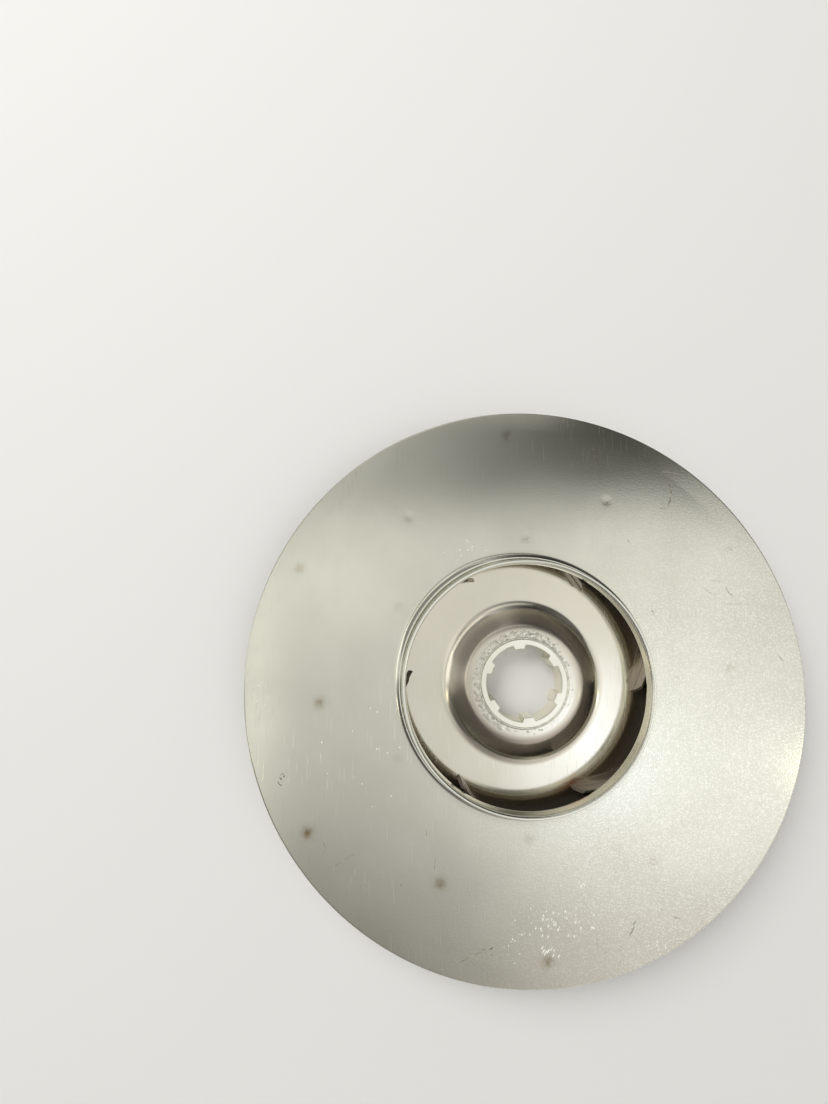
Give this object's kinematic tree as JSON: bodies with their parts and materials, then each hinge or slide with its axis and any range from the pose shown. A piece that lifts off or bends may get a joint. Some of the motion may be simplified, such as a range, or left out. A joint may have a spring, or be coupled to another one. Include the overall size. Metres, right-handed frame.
{
  "type": "pump impeller",
  "caption": "Closed radial pump impeller of pressed stainless sheet: flat front ring with a raised suction neck, swept vanes and a splined hub.",
  "frame": {"origin": "bottom centre of the bounding box: on the axis, in the hub's lower end face", "axes": "+Z along the axis towards the suction side, the shortest way through the part; +X and +Y in the plates' plane"},
  "size_m": [0.118, 0.118, 0.0102],
  "materials": {
    "front_shroud_steel": "satin rolled stainless",
    "hub_plate_steel": "satin rolled stainless",
    "hub_steel": "turned stainless",
    "vane_steel": "satin rolled stainless"
  },
  "bodies": {
    "root": {"front_shroud": "front_shroud_steel", "hub_plate": "hub_plate_steel", "splined_hub": "hub_steel", "vane_1": "vane_steel", "vane_2": "vane_steel", "vane_3": "vane_steel", "vane_4": "vane_steel", "vane_5": "vane_steel", "vane_6": "vane_steel"}
  },
  "joints": []
}
